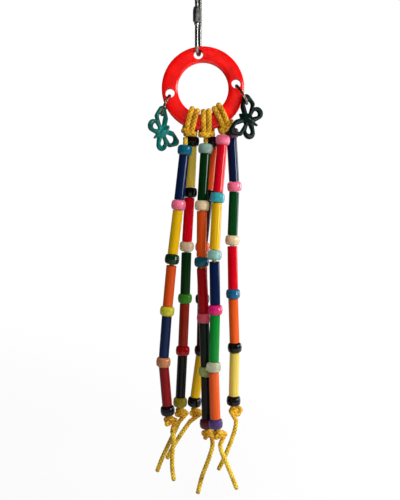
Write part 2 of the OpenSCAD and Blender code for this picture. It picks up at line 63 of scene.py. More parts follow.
# Where the strands hang. Three ropes are hitched to the ring and end in six strands, each
# strung with six beads and five tubes between them. The sizes are those of the CAD source.
link_inner_l, link_wire_r = 46.5, 1.1
ring_d, ring_bore_d, ring_t, ring_turn = 53.0, 32.5, 5.5, 8.0
band_r = (ring_d + ring_bore_d) / 4  # the middle of the ring's band, where its holes are
rope_d = 3.0
bead_d, bead_h, tube_l = 9.2, 6.5, 28.2
ring_seat, bead_seat = 0.25, 0.25  # the play between two pieces
bead_seat_h = bead_h / 2 + bead_seat
link_bottom_z = -link_inner_l - link_wire_r
ring_centre = np.array([band_r * np.sin(np.radians(ring_turn)), 0.0,
                        link_bottom_z - ring_seat - band_r * np.cos(np.radians(ring_turn))])

# Tube lengths as shares of the average tube, and leans in degrees of the rope leg and of
# each tube below it: to the right, and towards the back
tube_shares = np.array([
    [1.01, 1.00, 0.96, 0.96, 0.92], [0.93, 1.02, 0.99, 1.01, 1.01],
    [1.05, 1.04, 1.05, 1.01, 1.01], [0.98, 0.98, 0.99, 0.99, 1.03],
    [1.08, 1.05, 1.00, 1.06, 1.09], [0.98, 1.00, 1.02, 1.04, 1.04]])
side_leans = np.radians([
    [-2, -6.5, -7, -5.5, -4.5, 4.5], [-2, -2.5, -3.5, -2, -2.5, -3],
    [-1, -3.5, -0.5, 2.5, 2, 1], [1, -5, -6, 0, -1, -7.5],
    [-1, -5.5, -3, 1, -1.5, 2], [1, 3.5, -2, 1, 2, -1]])
back_leans = np.radians([
    [-7, -4, -2, 0, 1, 1.5], [1, 1, 1, 1, 0, 0],
    [-8, -5, -2.5, 0, 1, 1.5], [1, 1, 1, 0.5, 1, 1],
    [-12, -9, -5.5, -1.5, -2.5, 1], [-4, 1, 0, 0, 0, 0]])
# Places of the top beads from the rim where their hitch sits (right, back, down) and the
# rope legs above them, as shares of a bead
top_bead_shares = np.array([
    [-0.382, -0.215, 1.526, 1.086], [0.117, 0.518, 0.861, 0.871], [-0.050, -0.215, 1.296, 0.871],
    [0.459, 0.528, 0.758, 0.871], [-0.105, -0.215, 1.111, 0.675], [0.531, 0.421, 0.573, 0.871]])
hitch_rim_angle = np.radians([-18, 4.5, 31])

# The way down of every leg and tube, from its two leans
downs = np.stack([np.cos(back_leans) * np.sin(side_leans), np.sin(back_leans),
                  -np.cos(back_leans) * np.cos(side_leans)], axis=-1)
tube_lengths = tube_l * tube_shares
rim_points = ring_centre + ring_d / 2 * np.stack(
    [np.sin(hitch_rim_angle), 0 * hitch_rim_angle, -np.cos(hitch_rim_angle)], axis=-1)
top_beads = (np.repeat(rim_points, 2, axis=0)
             + bead_d * top_bead_shares[:, :3] * np.array([1, 1, -1]))
pivots = top_beads - bead_d * top_bead_shares[:, 3:] * downs[:, 0]
steps = (tube_lengths + 2 * bead_seat_h)[:, :, None] * downs[:, 1:]
bead_places = np.concatenate([top_beads[:, None], top_beads[:, None] + np.cumsum(steps, 1)], 1)

# The free rope ends: each rope is knotted under its last bead and cut off some 35 mm below,
# so that a bare end of the golden braid hangs and curls a little. It is a 3 mm polyester
# braid of eight thick carriers.
def run_along(points):
    """How far each point of a row lies from the first one, along the row."""
    return np.concatenate([[0], np.cumsum(np.linalg.norm(np.diff(points, axis=0), axis=1))])


def smooth_path(points, spacing):
    """A smooth curve through points, read off again at equal steps along its length: each
    stretch is a cubic, and its slope at a point is half the way between the points beside it."""
    p = np.asarray(points, float)
    p = np.concatenate([2 * p[:1] - p[1:2], p, 2 * p[-1:] - p[-2:-1]])
    u = np.linspace(0, 1, 24, endpoint=False)[:, None, None]
    a, b, c, d = p[:-3], p[1:-2], p[2:-1], p[3:]
    fine = (2 * b + (c - a) * u + (2 * a - 5 * b + 4 * c - d) * u**2
            + (3 * b - a - 3 * c + d) * u**3) / 2
    fine = np.concatenate([fine.transpose(1, 0, 2).reshape(-1, 3), p[-2:-1]])
    run = run_along(fine)
    at = np.linspace(0, run[-1], max(3, int(run[-1] / spacing)))
    return np.stack([np.interp(at, run, fine[:, i]) for i in range(3)], axis=-1)


def carried_frames(path):
    """The direction of a path at each point, with a side vector that turns with it as little
    as it can: each one is the last one with its share along the path taken away."""
    ahead = np.gradient(path, axis=0)
    ahead /= np.linalg.norm(ahead, axis=1, keepdims=True)
    side = np.empty_like(ahead)
    last = np.array([1.0, 0.0, 0.0]) if abs(ahead[0][0]) < 0.8 else np.array([0.0, 0.0, 1.0])
    for i, along in enumerate(ahead):
        last = last - (last @ along) * along
        last = last / np.linalg.norm(last)
        side[i] = last
    return side, np.cross(ahead, side)


def swept(path, radius, sides):
    """Rings of points round a path. Each point is radius * (cos a * side + sin a * other) away
    from it, where the angle a grows evenly round the ring."""
    side, other = carried_frames(path)
    angle = np.arange(sides) * 2 * np.pi / sides
    return path[:, None] + radius[..., None] * (
        np.cos(angle)[:, None] * side[:, None] + np.sin(angle)[:, None] * other[:, None])


def grid_mesh(name, points, closed_along=False):
    """A mesh of the (rings, sides, 3) points in millimetres: each ring is joined to the next.
    The last ring meets the first one, or both ends are closed by a fan round their middle."""
    rings, sides = points.shape[:2]
    index = np.arange(rings * sides).reshape(rings, sides)
    after = np.roll(index, -1, axis=0) if closed_along else index[1:]
    before = index if closed_along else index[:-1]
    quads = np.stack([before, np.roll(before, -1, 1), np.roll(after, -1, 1), after], -1)
    faces = quads.reshape(-1, 4).tolist()
    vertices = points.reshape(-1, 3)
    if not closed_along:
        for ring, flip in ((index[0], False), (index[-1], True)):
            middle = len(vertices)
            vertices = np.concatenate([vertices, vertices[ring].mean(0, keepdims=True)])
            fan = np.stack([np.roll(ring, -1), ring, np.full(sides, middle)], -1)
            faces += (fan[:, ::-1] if flip else fan).tolist()
    mesh = bpy.data.meshes.new(name)
    mesh.from_pydata((vertices * MM).tolist(), [], faces)
    mesh.shade_smooth()
    return mesh


def placed(name, mesh, material, body):
    """Puts a mesh into the scene as a piece that rides on a body, with a material."""
    piece = bpy.data.objects.new(name, mesh)
    bpy.context.scene.collection.objects.link(piece)
    mesh.materials.append(material)
    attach(piece, body)
    return piece


def linear(colour):
    """A six-figure sRGB hex colour as linear light, with alpha 1."""
    share = np.array([int(colour[i:i + 2], 16) for i in (1, 3, 5)]) / 255
    light = np.where(share <= 0.04045, share / 12.92, ((share + 0.055) / 1.055) ** 2.4)
    return (*light.tolist(), 1.0)


def add(tree, kind, settings=(), **links):
    """Adds one node: settings are its properties, its sockets' values or a colour ramp's stops
    of (place, hex colour), and links its inputs, from a socket or a node's first output."""
    made = tree.nodes.new("ShaderNode" + kind)
    for key, value in dict(settings).items():
        if key == "stops":
            elements = made.color_ramp.elements
            elements[0].position, elements[1].position = value[0][0], value[-1][0]
            for place, _ in value[1:-1]:
                elements.new(place)
            for element, (_, colour) in zip(elements, value):
                element.color = linear(colour)
        elif isinstance(key, int) or key in made.inputs:
            made.inputs[key].default_value = value
        else:
            setattr(made, key, value)
    for key, source in links.items():
        socket = source.outputs[0] if isinstance(source, bpy.types.Node) else source
        tree.links.new(socket, made.inputs[key.replace("_", " ")])
    return made


from_to = ("From Min", "From Max", "To Min", "To Max")  # the ranges of a Map Range node


def new_material(name):
    """An empty node material, with its tree and the place on the object. A noise scale there
    counts patches to a metre: 500 gives patches of 2 mm."""
    material = bpy.data.materials.new(name)
    material.use_nodes = True
    tree = material.node_tree
    tree.nodes.clear()
    return material, tree, add(tree, "TexCoord").outputs["Object"]


def rope_yarn(name, stops):
    """Polyester braid: painted shade between the carriers, a painted highlight with a faint sheen
    where the yarn lies over, blotches where the dye took unevenly, and a fine fibre that is
    drawn at 0.25 mm so that it shows. The stops run from the painted shade of the gaps to the
    painted highlight on the crowns of the carriers."""
    material, tree, spot = new_material(name)
    weave = add(tree, "Attribute", {"attribute_name": "weave"})
    fibre = add(tree, "TexNoise", {"Scale": 4000.0, "Detail": 3.0}, Vector=spot)
    blotch = add(tree, "TexNoise", {"Scale": 180.0, "Detail": 2.0}, Vector=spot)
    tone = add(tree, "Math", {"operation": "MULTIPLY_ADD", 1: 0.8})
    tree.links.new(weave.outputs["Fac"], tone.inputs[0])
    tree.links.new(blotch.outputs[0], tone.inputs[2])
    level = add(tree, "Math", {"operation": "SUBTRACT", 1: 0.35})
    tree.links.new(tone.outputs[0], level.inputs[0])
    tint = add(tree, "ValToRGB", {"stops": stops}, Fac=level)
    bump = add(tree, "Bump", {"Strength": 0.35, "Distance": 0.0001}, Height=fibre)
    settings = {"Roughness": 0.6, "Specular IOR Level": 0.25,
                "Sheen Weight": 0.05, "Sheen Roughness": 0.4}
    shader = add(tree, "BsdfPrincipled", settings, Base_Color=tint, Normal=bump)
    add(tree, "OutputMaterial", Surface=shader)
    return material


# The stops of each braid paint shade into the gaps between the carriers and a highlight on their
# crowns.
rope_material = rope_yarn("polyester braid, dyed gold", [
    (0.12, "#2A1C02"), (0.4, "#7C5C0A"), (0.68, "#C09614"), (0.95, "#EECE48")])
# A darker, redder copy of the gold braid: painted shade, and on the hitches painted red bounce
# light from the ring. The lower ropes and their knots under the last beads wear it too.
painted_shade_braid = rope_yarn("polyester braid, dyed gold, painted shade and red bounce", [
    (0.12, "#321C02"), (0.4, "#7E5004"), (0.68, "#BC840C"), (0.95, "#E8B62E")])

carriers = 4  # in each of the two families
braid_lead = 9.6  # the length of one turn of a carrier
braid_relief = 0.26
tip_l = 0.9  # the sealed tip at a cut end


def braided(name, path, body, material=rope_material, diameter=rope_d, tip=False, sides=24):
    """A braid along a path: two families of carriers wind round it left and right, one over
    the other in turn. The radius rises by the carrier that lies on top, a rounded ridge
    across its own width, and the weave attribute keeps that height for the colour, which
    paints shade in the low places and a highlight on the high ones."""
    along = np.arange(len(path))[:, None] * np.linalg.norm(path[1] - path[0])
    angle = np.arange(sides)[None] * 2 * np.pi / sides
    right = carriers * (angle / (2 * np.pi) + along / braid_lead)
    left = carriers * (angle / (2 * np.pi) - along / braid_lead)
    over = np.clip(0.5 + 1.4 * np.sin(np.pi * right) * np.sin(np.pi * left), 0, 1)
    height = (over * np.abs(np.sin(np.pi * right)) ** 0.6
              + (1 - over) * np.abs(np.sin(np.pi * left)) ** 0.6)
    radius = diameter / 2 + braid_relief * (height - 0.8)
    if tip:  # it draws in to a blunt, darker end
        from_end = np.clip((along[-1] - along) / tip_l, 0, 1)
        radius = radius * (0.72 + 0.28 * np.sqrt(from_end))
        height = height * (0.25 + 0.75 * from_end)
    mesh = grid_mesh(name, swept(path, radius, sides))
    shade = mesh.attributes.new("weave", "FLOAT", "POINT")
    values = np.concatenate([height.ravel(), [height[0].mean(), height[-1].mean()]])
    shade.data.foreach_set("value", values.astype(np.float32))
    return placed(name, mesh, material, body)


# Routes of the free ends from the middle of the last bead, as in the CAD source
tail_routes = np.array([
    [[3, 0, -14], [4, 0, -20], [3, 0, -30], [3, 0, -40], [4, 0, -48]],
    [[-1, 0, -14], [-4, 0, -21], [-9, 1, -32], [-13, 1, -41], [-16, 1, -49]],
    [[4, 0, -14], [3, 0, -19], [0, 0, -28], [-3, 0, -36], [-6, 0, -48]],
    [[-3, 1, -14], [-7, 2, -20], [-12, 3, -28], [-16, 3, -35], [-19, 3, -41]],
    [[3, 0, -14], [4, 0, -19], [7, 0, -26], [11, 0, -36], [14, 0, -44]],
    [[2, 0, -14], [1, 0, -20], [-2, 1, -30], [-6, 1, -40], [-10, 2, -49]]], float)
rope_spacing = 0.45
for n in range(6):
    route = smooth_path(bead_places[n, 5] + tail_routes[n], rope_spacing)
    free_end = braided(f"free_end_{n + 1}", route, f"strand_{n + 1}_lower", tip=True)
    length = float(run_along(route)[-1])
    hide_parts(f"strand_{n + 1}_lower_rope")

# The end knots: an overhand knot in each rope, pulled tight against the last bead's lower
# face, so that nothing slides off. It is wider than high and lies a little to the right.
knot_scale = np.array([1.3, 1.0, 0.74])
knot_drop = 7.3
knot_shifts = [1.6, 0.5, 0.6, 0.8, 2.5, 1.9]
knot_turns = np.radians([20, -15, 40, -30, 10, 200])
lobe_gap = 0.12  # radians that each end stops short of the loop's joint
knot_depth, end_ease, ease_span = 1.35, 1.3, 0.5


def turned_by(points, angle):
    """The points turned about the vertical axis by an angle, counterclockwise from above."""
    c, s = np.cos(angle), np.sin(angle)
    return points @ np.array([[c, s, 0], [-s, c, 0], [0, 0, 1]])


def overhand(n):
    """The rope's way through the knot under strand n: a trefoil, (sin t + 2 sin 2t,
    cos t - 2 cos 2t, -sin 3t), cut open at the outside of one lobe, with its two ends eased
    apart in depth, then turned about the strand."""
    t = np.linspace(np.pi / 3 + lobe_gap, np.pi / 3 + 2 * np.pi - lobe_gap, 16)
    x, y, z = np.sin(t) + 2 * np.sin(2 * t), np.cos(t) - 2 * np.cos(2 * t), -np.sin(3 * t)
    c, s = np.cos(-np.pi / 6), np.sin(-np.pi / 6)
    out, up = c * x - s * y, s * x + c * y
    ease = end_ease * (np.exp(-((t - t[-1]) / ease_span) ** 2)
                       - np.exp(-((t - t[0]) / ease_span) ** 2))
    knot = turned_by(np.stack([out, z * knot_depth + ease, up], -1) * knot_scale, knot_turns[n])
    return knot + bead_places[n, 5] + np.array([knot_shifts[n], 0, -knot_drop])


# The ropes inside the strands: the braid runs from its hitch down through the bores of the
# beads and tubes, and shows where it leaves the ring and wherever the strand bends open.
rope_play = 0.2  # between the start of a piece of rope and what it comes out of
bend_reach = 3.3  # how far the upper rope runs on below the middle of the third bead
for n in range(6):
    upper = np.concatenate([[pivots[n] + (rope_d / 2 + rope_play) * downs[n, 0]],
                            bead_places[n, :3], [bead_places[n, 2] + bend_reach * downs[n, 3]]])
    piece = braided(f"upper_rope_{n + 1}", smooth_path(upper, rope_spacing),
                    f"strand_{n + 1}_upper", sides=16)
    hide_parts(f"strand_{n + 1}_upper_rope")
    lower = np.concatenate([[bead_places[n, 2] + (bead_d / 2 + rope_play) * downs[n, 3]],
                            bead_places[n, 3:], overhand(n),
                            [bead_places[n, 5] + tail_routes[n, 0]]])
    # The lower rope and its knot wear the braid copy with painted shade.
    piece = braided(f"lower_rope_{n + 1}", smooth_path(lower, rope_spacing),
                    f"strand_{n + 1}_lower", painted_shade_braid, sides=16)
    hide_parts(f"strand_{n + 1}_lower_rope")

# The hitches: cow hitches. Both halves of a rope come up in front of the ring, go over its
# bore and down its back, and meet below the rim in a cross bar that holds the two ends down.
# The rope is pressed wider here than where it hangs free.
hitch_rope_d = 3.4
wrap_pitch = 3.5
bar_half = 3.7
bar_depths = [1.3, 1.3, 1.1]  # how far the bar stands out in front, in shares of a wrap
bar_sags = [1.9, 1.9, 1.2]  # and how far its middle hangs below the rim
hitch_bore_angle = np.radians([-21.5, 7.5, 36.5])
wrap_bore_r = ring_bore_d / 2 - hitch_rope_d / 2
wrap_rim_r = ring_d / 2 + hitch_rope_d / 2
wrap_face_y = ring_t / 2 + hitch_rope_d / 2


def by_ring(h, across, back, out):
    """A point beside the ring at hitch h, whose angle changes evenly from bore to rim."""
    share = (out - wrap_bore_r) / (wrap_rim_r - wrap_bore_r)
    angle = hitch_bore_angle[h] + share * (hitch_rim_angle[h] - hitch_bore_angle[h])
    return ring_centre + [np.sin(angle) * out + np.cos(angle) * across, back,
                          -np.cos(angle) * out + np.sin(angle) * across]


def half_hitch(h, side):
    """Half of the rope in hitch h: from under the bar up the front, over the bore, down the
    back and round under the rim to the bar's middle, which sags."""
    near, far = side * wrap_pitch / 2, side * bar_half
    return [by_ring(h, across, back, out) for across, back, out in (
        (near * 0.75, -wrap_face_y * 0.55, wrap_rim_r + 1.6),
        (near * 0.95, -wrap_face_y * 0.93, ring_d / 2),
        (near, -wrap_face_y, band_r + 1.5), (near, -wrap_face_y, band_r - 1.5),
        (near, -wrap_face_y * 0.97, ring_bore_d / 2 + 0.6),
        (near, -wrap_face_y * 0.7, wrap_bore_r + 0.3), (near, 0, wrap_bore_r - 0.1),
        (near, wrap_face_y * 0.7, wrap_bore_r + 0.3),
        (near * 1.1, wrap_face_y * 0.97, ring_bore_d / 2 + 0.6),
        (near * 1.4, wrap_face_y, band_r), (far * 0.9, wrap_face_y * 0.97, ring_d / 2 - 0.8),
        (far, wrap_face_y * 0.55, wrap_rim_r + 0.5), (far, -wrap_face_y * 0.25, wrap_rim_r + 1.1),
        (far * 0.92, -wrap_face_y * 0.9, wrap_rim_r + 1.1),
        (far * 0.5, -wrap_face_y * (bar_depths[h] - 0.05), wrap_rim_r + bar_sags[h] - 0.4),
        (0, -wrap_face_y * bar_depths[h], wrap_rim_r + bar_sags[h]))]


for h, where in enumerate(("left", "centre", "right")):
    route = ([pivots[2 * h]] + half_hitch(h, -1) + half_hitch(h, 1)[-2::-1]
             + [pivots[2 * h + 1]])
    # The hitch wears the braid copy with painted shade and painted red bounce from the ring.
    piece = braided(f"hitched_rope_{where}", smooth_path(route, rope_spacing), "ring",
                    painted_shade_braid, hitch_rope_d)
    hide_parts(f"hitch_{where}")

# The quick link carries everything: one piece of 2.2 mm steel wire, bent to a long oval and
# plated bright, with a rolled thread on the two ends that its nut closes.
link_gap, link_bend_r, link_turn = 4.0, 11.5 / 2, np.radians(-11)
nut_l, nut_flats, nut_middle_z, nut_play = 9.3, 4.2, -24.0, 0.1
nut_low_z = nut_middle_z - nut_l / 2
gap_low_z = nut_low_z + nut_l / 4
collar_h, collar_rise = 1.6, 0.45
collar_z = nut_low_z - nut_play - collar_h / 2
thread_pitch, thread_depth = 0.45, 0.14
thread_low_z, thread_top_z = gap_low_z - 6, gap_low_z + link_gap + 5
wire_step = 0.16


def plated(name, clouds, tints, dullness, bump=None, drawn=None):
    """Plated metal: a mirror whose tint and dullness change together in clouds. A bump follows
    the clouds or, on drawn wire, lines along it, which are noise on the place times drawn."""
    material, tree, spot = new_material(name)
    cloud = add(tree, "TexNoise", clouds, Vector=spot)
    tint = add(tree, "ValToRGB", {"stops": tints}, Fac=cloud)
    dull = add(tree, "MapRange", zip(from_to, (0.3, 0.7, *dullness)), Value=cloud)
    shader = add(tree, "BsdfPrincipled", {"Metallic": 1.0}, Base_Color=tint, Roughness=dull)
    if drawn:
        stretch = add(tree, "Mapping", {"Scale": drawn}, Vector=spot)
        cloud = add(tree, "TexNoise", {"Scale": 1.0, "Detail": 2.0}, Vector=stretch)
    if bump:
        raised = add(tree, "Bump", bump, Height=cloud)
        tree.links.new(raised.outputs[0], shader.inputs["Normal"])
    add(tree, "OutputMaterial", Surface=shader)
    return material


# Bright zinc plating: a mirror that is a little soft, with the faint drawing lines of the wire
# along it and a bluish to straw tint that changes slowly.
steel = plated("zinc-plated steel wire, bright", {"Scale": 140.0, "Detail": 3.0},
               [(0.3, "#7A7C7A"), (0.55, "#A2A3A0"), (0.8, "#98948A")], (0.16, 0.3),
               bump={"Strength": 0.25, "Distance": 0.00005}, drawn=(1500.0, 1500.0, 60.0))

bend = np.linspace(0, np.pi, 33)
top_z, low_z = link_wire_r - link_bend_r, link_bottom_z + link_bend_r
wire = np.concatenate([
    [[0, -link_bend_r, gap_low_z], [0, -link_bend_r, collar_z]],
    np.stack([0 * bend, -link_bend_r * np.cos(bend), low_z - link_bend_r * np.sin(bend)], -1),
    np.stack([0 * bend, link_bend_r * np.cos(bend), top_z + link_bend_r * np.sin(bend)], -1),
    [[0, -link_bend_r, gap_low_z + link_gap]]])
run = run_along(wire)
at = np.arange(0, run[-1], wire_step)
wire = np.stack([np.interp(at, run, wire[:, i]) for i in range(3)], axis=-1)
from_collar = np.abs(wire[:, 2] - collar_z) + 1e3 * (wire[:, 1] > 0)
collar = collar_rise * np.clip((collar_h / 2 - from_collar) / wire_step, 0, 1) ** 0.5
threaded = ((wire[:, 1] < 0) & (collar == 0) & (wire[:, 2] > thread_low_z)
            & (wire[:, 2] < thread_top_z))
wire_sides = 32
turns = 2 * np.pi * (wire[:, 2:] / thread_pitch + np.arange(wire_sides) / wire_sides)
radius = (link_wire_r + collar[:, None]
          - thread_depth / 2 * threaded[:, None] * (1 + np.cos(turns)))
points = turned_by(swept(wire, radius, wire_sides), link_turn)
quick_link = placed("quick_link_wire", grid_mesh("quick_link_wire", points), steel, "link")
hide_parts("quick_link")

# The nut is turned from hexagon bar: its six flats meet a cone at both ends, the longer one
# at the top. Its plating is duller and darker than the wire's.
nut_steel = plated("zinc-plated steel nut, handled dull", {"Scale": 500.0, "Detail": 4.0},
                   [(0.3, "#5E5F5C"), (0.6, "#8A8B87"), (0.8, "#A09C90")], (0.28, 0.45),
                   bump={"Strength": 0.3, "Distance": 0.00008})

nut_bore_r, nut_sides = link_wire_r + nut_play, 96
low_cone_h, top_cone_h = 0.65, 2.5
corner_r = nut_flats / 2 / np.cos(np.pi / 6)
angle = np.arange(nut_sides) * 2 * np.pi / nut_sides
height = np.concatenate([[0, 0], np.linspace(0.02, nut_l - 0.02, 60), [nut_l, nut_l]])
cone = corner_r + np.minimum(0, np.minimum((height - low_cone_h) * 0.9,
                                           (nut_l - top_cone_h - height) * 0.26))
flats = nut_flats / 2 / np.cos((angle + np.pi / 6) % (np.pi / 3) - np.pi / 6)
outer = np.minimum(flats, cone[:, None])
outer[0] = outer[-1] = nut_bore_r
bore = np.full((20, nut_sides), nut_bore_r)
radius = np.concatenate([outer, bore])
height = np.concatenate([height, np.linspace(nut_l, 0, 22)[1:-1]])
points = np.stack([radius * np.cos(angle), radius * np.sin(angle) - link_bend_r,
                   np.broadcast_to(height[:, None] + nut_low_z, radius.shape)], axis=-1)
mesh = grid_mesh("nut", turned_by(points, link_turn), closed_along=True)
mesh.set_sharp_from_angle(angle=np.radians(25))
nut = placed("hexagon_nut", mesh, nut_steel, "nut")
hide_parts("link_nut")

# The ring: injection-moulded in one piece, its flat faces falling away gently to round edges,
# with three holes through it. It hangs on the link by the top hole.
ring_hole_d = 6.0
flatness = 3.4  # power of the section's outline: 2 is an ellipse, 10 nearly a rectangle

# Moulded red plastic: glossy under a soft skin of fine scuffs; a little light passes into its
# surface, so that the shaded side stays deep red.
ring_red, tree, spot = new_material("moulded ABS, signal red, glossy")
flow = add(tree, "TexNoise", {"Scale": 70.0, "Detail": 2.0, "Distortion": 0.6}, Vector=spot)
scuff = add(tree, "TexNoise", {"Scale": 900.0, "Detail": 6.0, "Roughness": 0.7}, Vector=spot)
reds = [(0.3, "#D20400"), (0.5, "#EE0602"), (0.7, "#FF0E06")]
tint = add(tree, "ValToRGB", {"stops": reds}, Fac=flow)
dull = add(tree, "MapRange", zip(from_to, (0.35, 0.75, 0.1, 0.26)), Value=scuff)
wavy = add(tree, "Bump", {"Strength": 0.12, "Distance": 0.0006}, Height=flow)
bump = add(tree, "Bump", {"Strength": 0.12, "Distance": 0.00008}, Height=scuff, Normal=wavy)
settings = {"IOR": 1.5, "Subsurface Weight": 0.12, "Subsurface Radius": (1.0, 0.2, 0.1),
            "Subsurface Scale": 0.0012}
shader = add(tree, "BsdfPrincipled", settings, Base_Color=tint, Roughness=dull, Normal=bump)
add(tree, "OutputMaterial", Surface=shader)


def lathe(profile, sides):
    """A profile of (radius, height) points turned about the vertical axis."""
    angle = np.arange(sides) * 2 * np.pi / sides
    return np.stack([profile[:, :1] * np.cos(angle), profile[:, :1] * np.sin(angle),
                     np.broadcast_to(profile[:, 1:], (len(profile), sides))], axis=-1)


def plump_section(width, height, power, steps):
    """The outline round its own middle where |x / half width| ^ power + |y / half height| ^
    power is 1: a rectangle with full, round corners."""
    turn = np.arange(steps) * 2 * np.pi / steps
    x, y = np.cos(turn), np.sin(turn)
    size = (np.abs(x) ** power + np.abs(y) ** power) ** (-1 / power)
    return np.stack([x * size * width / 2, y * size * height / 2], axis=-1)


section = plump_section((ring_d - ring_bore_d) / 2, ring_t, flatness, 48) + [band_r, 0]
points = lathe(section, 240)[..., [0, 2, 1]] * [1, -1, 1]
ring = placed("ring_moulding", grid_mesh("ring", points[::-1] + ring_centre, closed_along=True),
              ring_red, "ring")
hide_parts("ring")

# The holes are cut with a drill shape that flares at both faces, so that their edges are round
flare = 0.2
flare_r = ring_hole_d / 2 + flare
bend = np.linspace(0, np.pi / 2, 7)
half = np.stack([flare_r - flare * np.sin(bend), ring_t / 2 - flare + flare * np.cos(bend)], -1)
drill = np.concatenate([[[flare_r, ring_t]], half, half[::-1] * [1, -1], [[flare_r, -ring_t]]])
drill_points = lathe(drill, 64)[..., [0, 2, 1]]
for k in range(3):
    hole_angle = np.radians(ring_turn) + k * np.pi / 2
    hole = ring_centre + band_r * np.array([np.cos(hole_angle), 0, np.sin(hole_angle)])
    cutter = bpy.data.objects.new("drill", grid_mesh("drill", drill_points + hole))
    bpy.context.scene.collection.objects.link(cutter)
    cut = ring.modifiers.new("hole", "BOOLEAN")
    cut.object, cut.operation, cut.solver = cutter, "DIFFERENCE", "EXACT"
    bpy.context.view_layer.update()
    depsgraph = bpy.context.evaluated_depsgraph_get()
    holed = bpy.data.meshes.new_from_object(ring.evaluated_get(depsgraph))
    ring.modifiers.clear()
    ring.data = holed
    bpy.data.objects.remove(cutter)
ring.data.shade_smooth()
ring.data.set_sharp_from_angle(angle=np.radians(35))

# The split rings: spring wire wound twice and flattened together, with both ends free. One
# hangs in each side hole of the ring and carries a butterfly.
split_d, split_wire_d, split_seat = 14.0, 0.8, 1.1
split_offset = split_wire_d * 0.46  # of each turn from the middle between both
coil_start, coil_end = 14, 706  # degrees round from the bottom
crossing_start, crossing_span = 350, 20  # where the wire passes from one turn to the next


def leaning(side_lean, back_lean):
    """The turn that brings -Z onto a line with these leans to the right and the back."""
    side_lean, back_lean = np.radians(side_lean), np.radians(back_lean)
    a, b, c, d = np.cos(side_lean), np.sin(side_lean), np.cos(back_lean), np.sin(back_lean)
    aside = np.array([[a, 0, -b], [0, 1, 0], [b, 0, a]])
    return aside @ np.array([[1, 0, 0], [0, c, -d], [0, d, c]])


# Nickel-plated spring wire with fine wear. Its tint, darker and browner than the link's, is a
# painted dark reflection.
nickel = plated("nickel-plated spring wire, darkened", {"Scale": 700.0, "Detail": 3.0},
                [(0.3, "#5A4A40"), (0.6, "#8A7A6E"), (0.85, "#B8A89C")], (0.18, 0.34))

# The place of each one's hole round the ring, its leans to the right and the back, and its turn
split_hangs = {"left": (180, -23.5, 0, -2), "right": (0, 31.5, -12, 0)}
butterfly_hooks = {}
for where, (hole_angle, side_lean, back_lean, turn) in split_hangs.items():
    hole_angle = np.radians(hole_angle + ring_turn)
    top = ring_centre + band_r * np.array([np.cos(hole_angle), 0, np.sin(hole_angle)])
    top = top - [0, 0, split_seat]
    matrix = leaning(side_lean, back_lean)
    wound = np.radians(np.linspace(coil_start, coil_end, 360))
    over = np.clip((np.degrees(wound) - crossing_start) / crossing_span, 0, 1)
    over = split_offset * (2 * over * over * (3 - 2 * over) - 1)
    coil = np.stack([over, split_d / 2 * np.sin(wound),
                     -split_d / 2 - split_d / 2 * np.cos(wound)], -1)
    coil = turned_by(coil, np.radians(turn)) @ matrix.T + top
    radius = np.full((len(coil), 1), split_wire_d / 2)
    radius[[0, -1]] *= 0.7
    mesh = grid_mesh("split_ring", swept(coil, radius, 16))
    piece = placed(f"split_ring_wire_{where}", mesh, nickel, f"{where}_split_ring")
    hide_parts(f"{where}_split_ring")
    butterfly_hooks[where] = top + matrix @ [0, 0, -split_d]

# The butterflies: flat openwork mouldings about 30 mm across, 2.8 mm thick with full round
# edges, with an opening in each wing and a domed body that ends in a small spike. Each hangs
# by the opening of one fore wing.
wing_reach, wing_t, wing_round, body_w = 15.0, 2.8, 1.15, 5.4
body_slimness = 0.85  # the body's width over its depth
body_l, head_x, spike_l = wing_reach * 0.83, wing_reach * 0.46, wing_reach * 0.3
body_x, tail_x = head_x - body_l / 2, head_x - body_l
bulge_r = (body_l**2 + body_w**2) / (4 * body_w)
# Discs (place along the body, place out from it, radius) in shares of the reach: a taut band
# round each set outlines a wing or an opening
fore_shares = np.array([[0.415, 0.805, 0.185], [0.370, 0.400, 0.155],
                        [0.040, 0.000, 0.110], [0.122, 0.690, 0.175]])
fore_hole_shares = np.array([[0.247, 0.590, 0.150], [0.105, 0.280, 0.050]])
hind_shares = np.array([[-0.300, 0.493, 0.273], [-0.140, 0.000, 0.120]])
hind_hole_shares = np.array([[-0.247, 0.440, 0.115], [-0.150, 0.260, 0.040]])


def from_band(discs, x, y):
    """Signed distance to the taut band round some discs: the greatest, over all directions,
    of how far a point lies beyond the line that touches them from that side."""
    turn = np.radians(np.arange(0, 360, 3))
    ways = np.stack([np.cos(turn), np.sin(turn)])
    reach = (discs[:, :2] @ ways + discs[:, 2:]).max(0)
    return (x[..., None] * ways[0] + y[..., None] * ways[1] - reach).max(-1)


def soft_min(a, b, blend):
    """The lesser of two distances, rounded over where they are nearly equal."""
    share = np.clip(0.5 + 0.5 * (b - a) / blend, 0, 1)
    return b + (a - b) * share - blend * share * (1 - share)


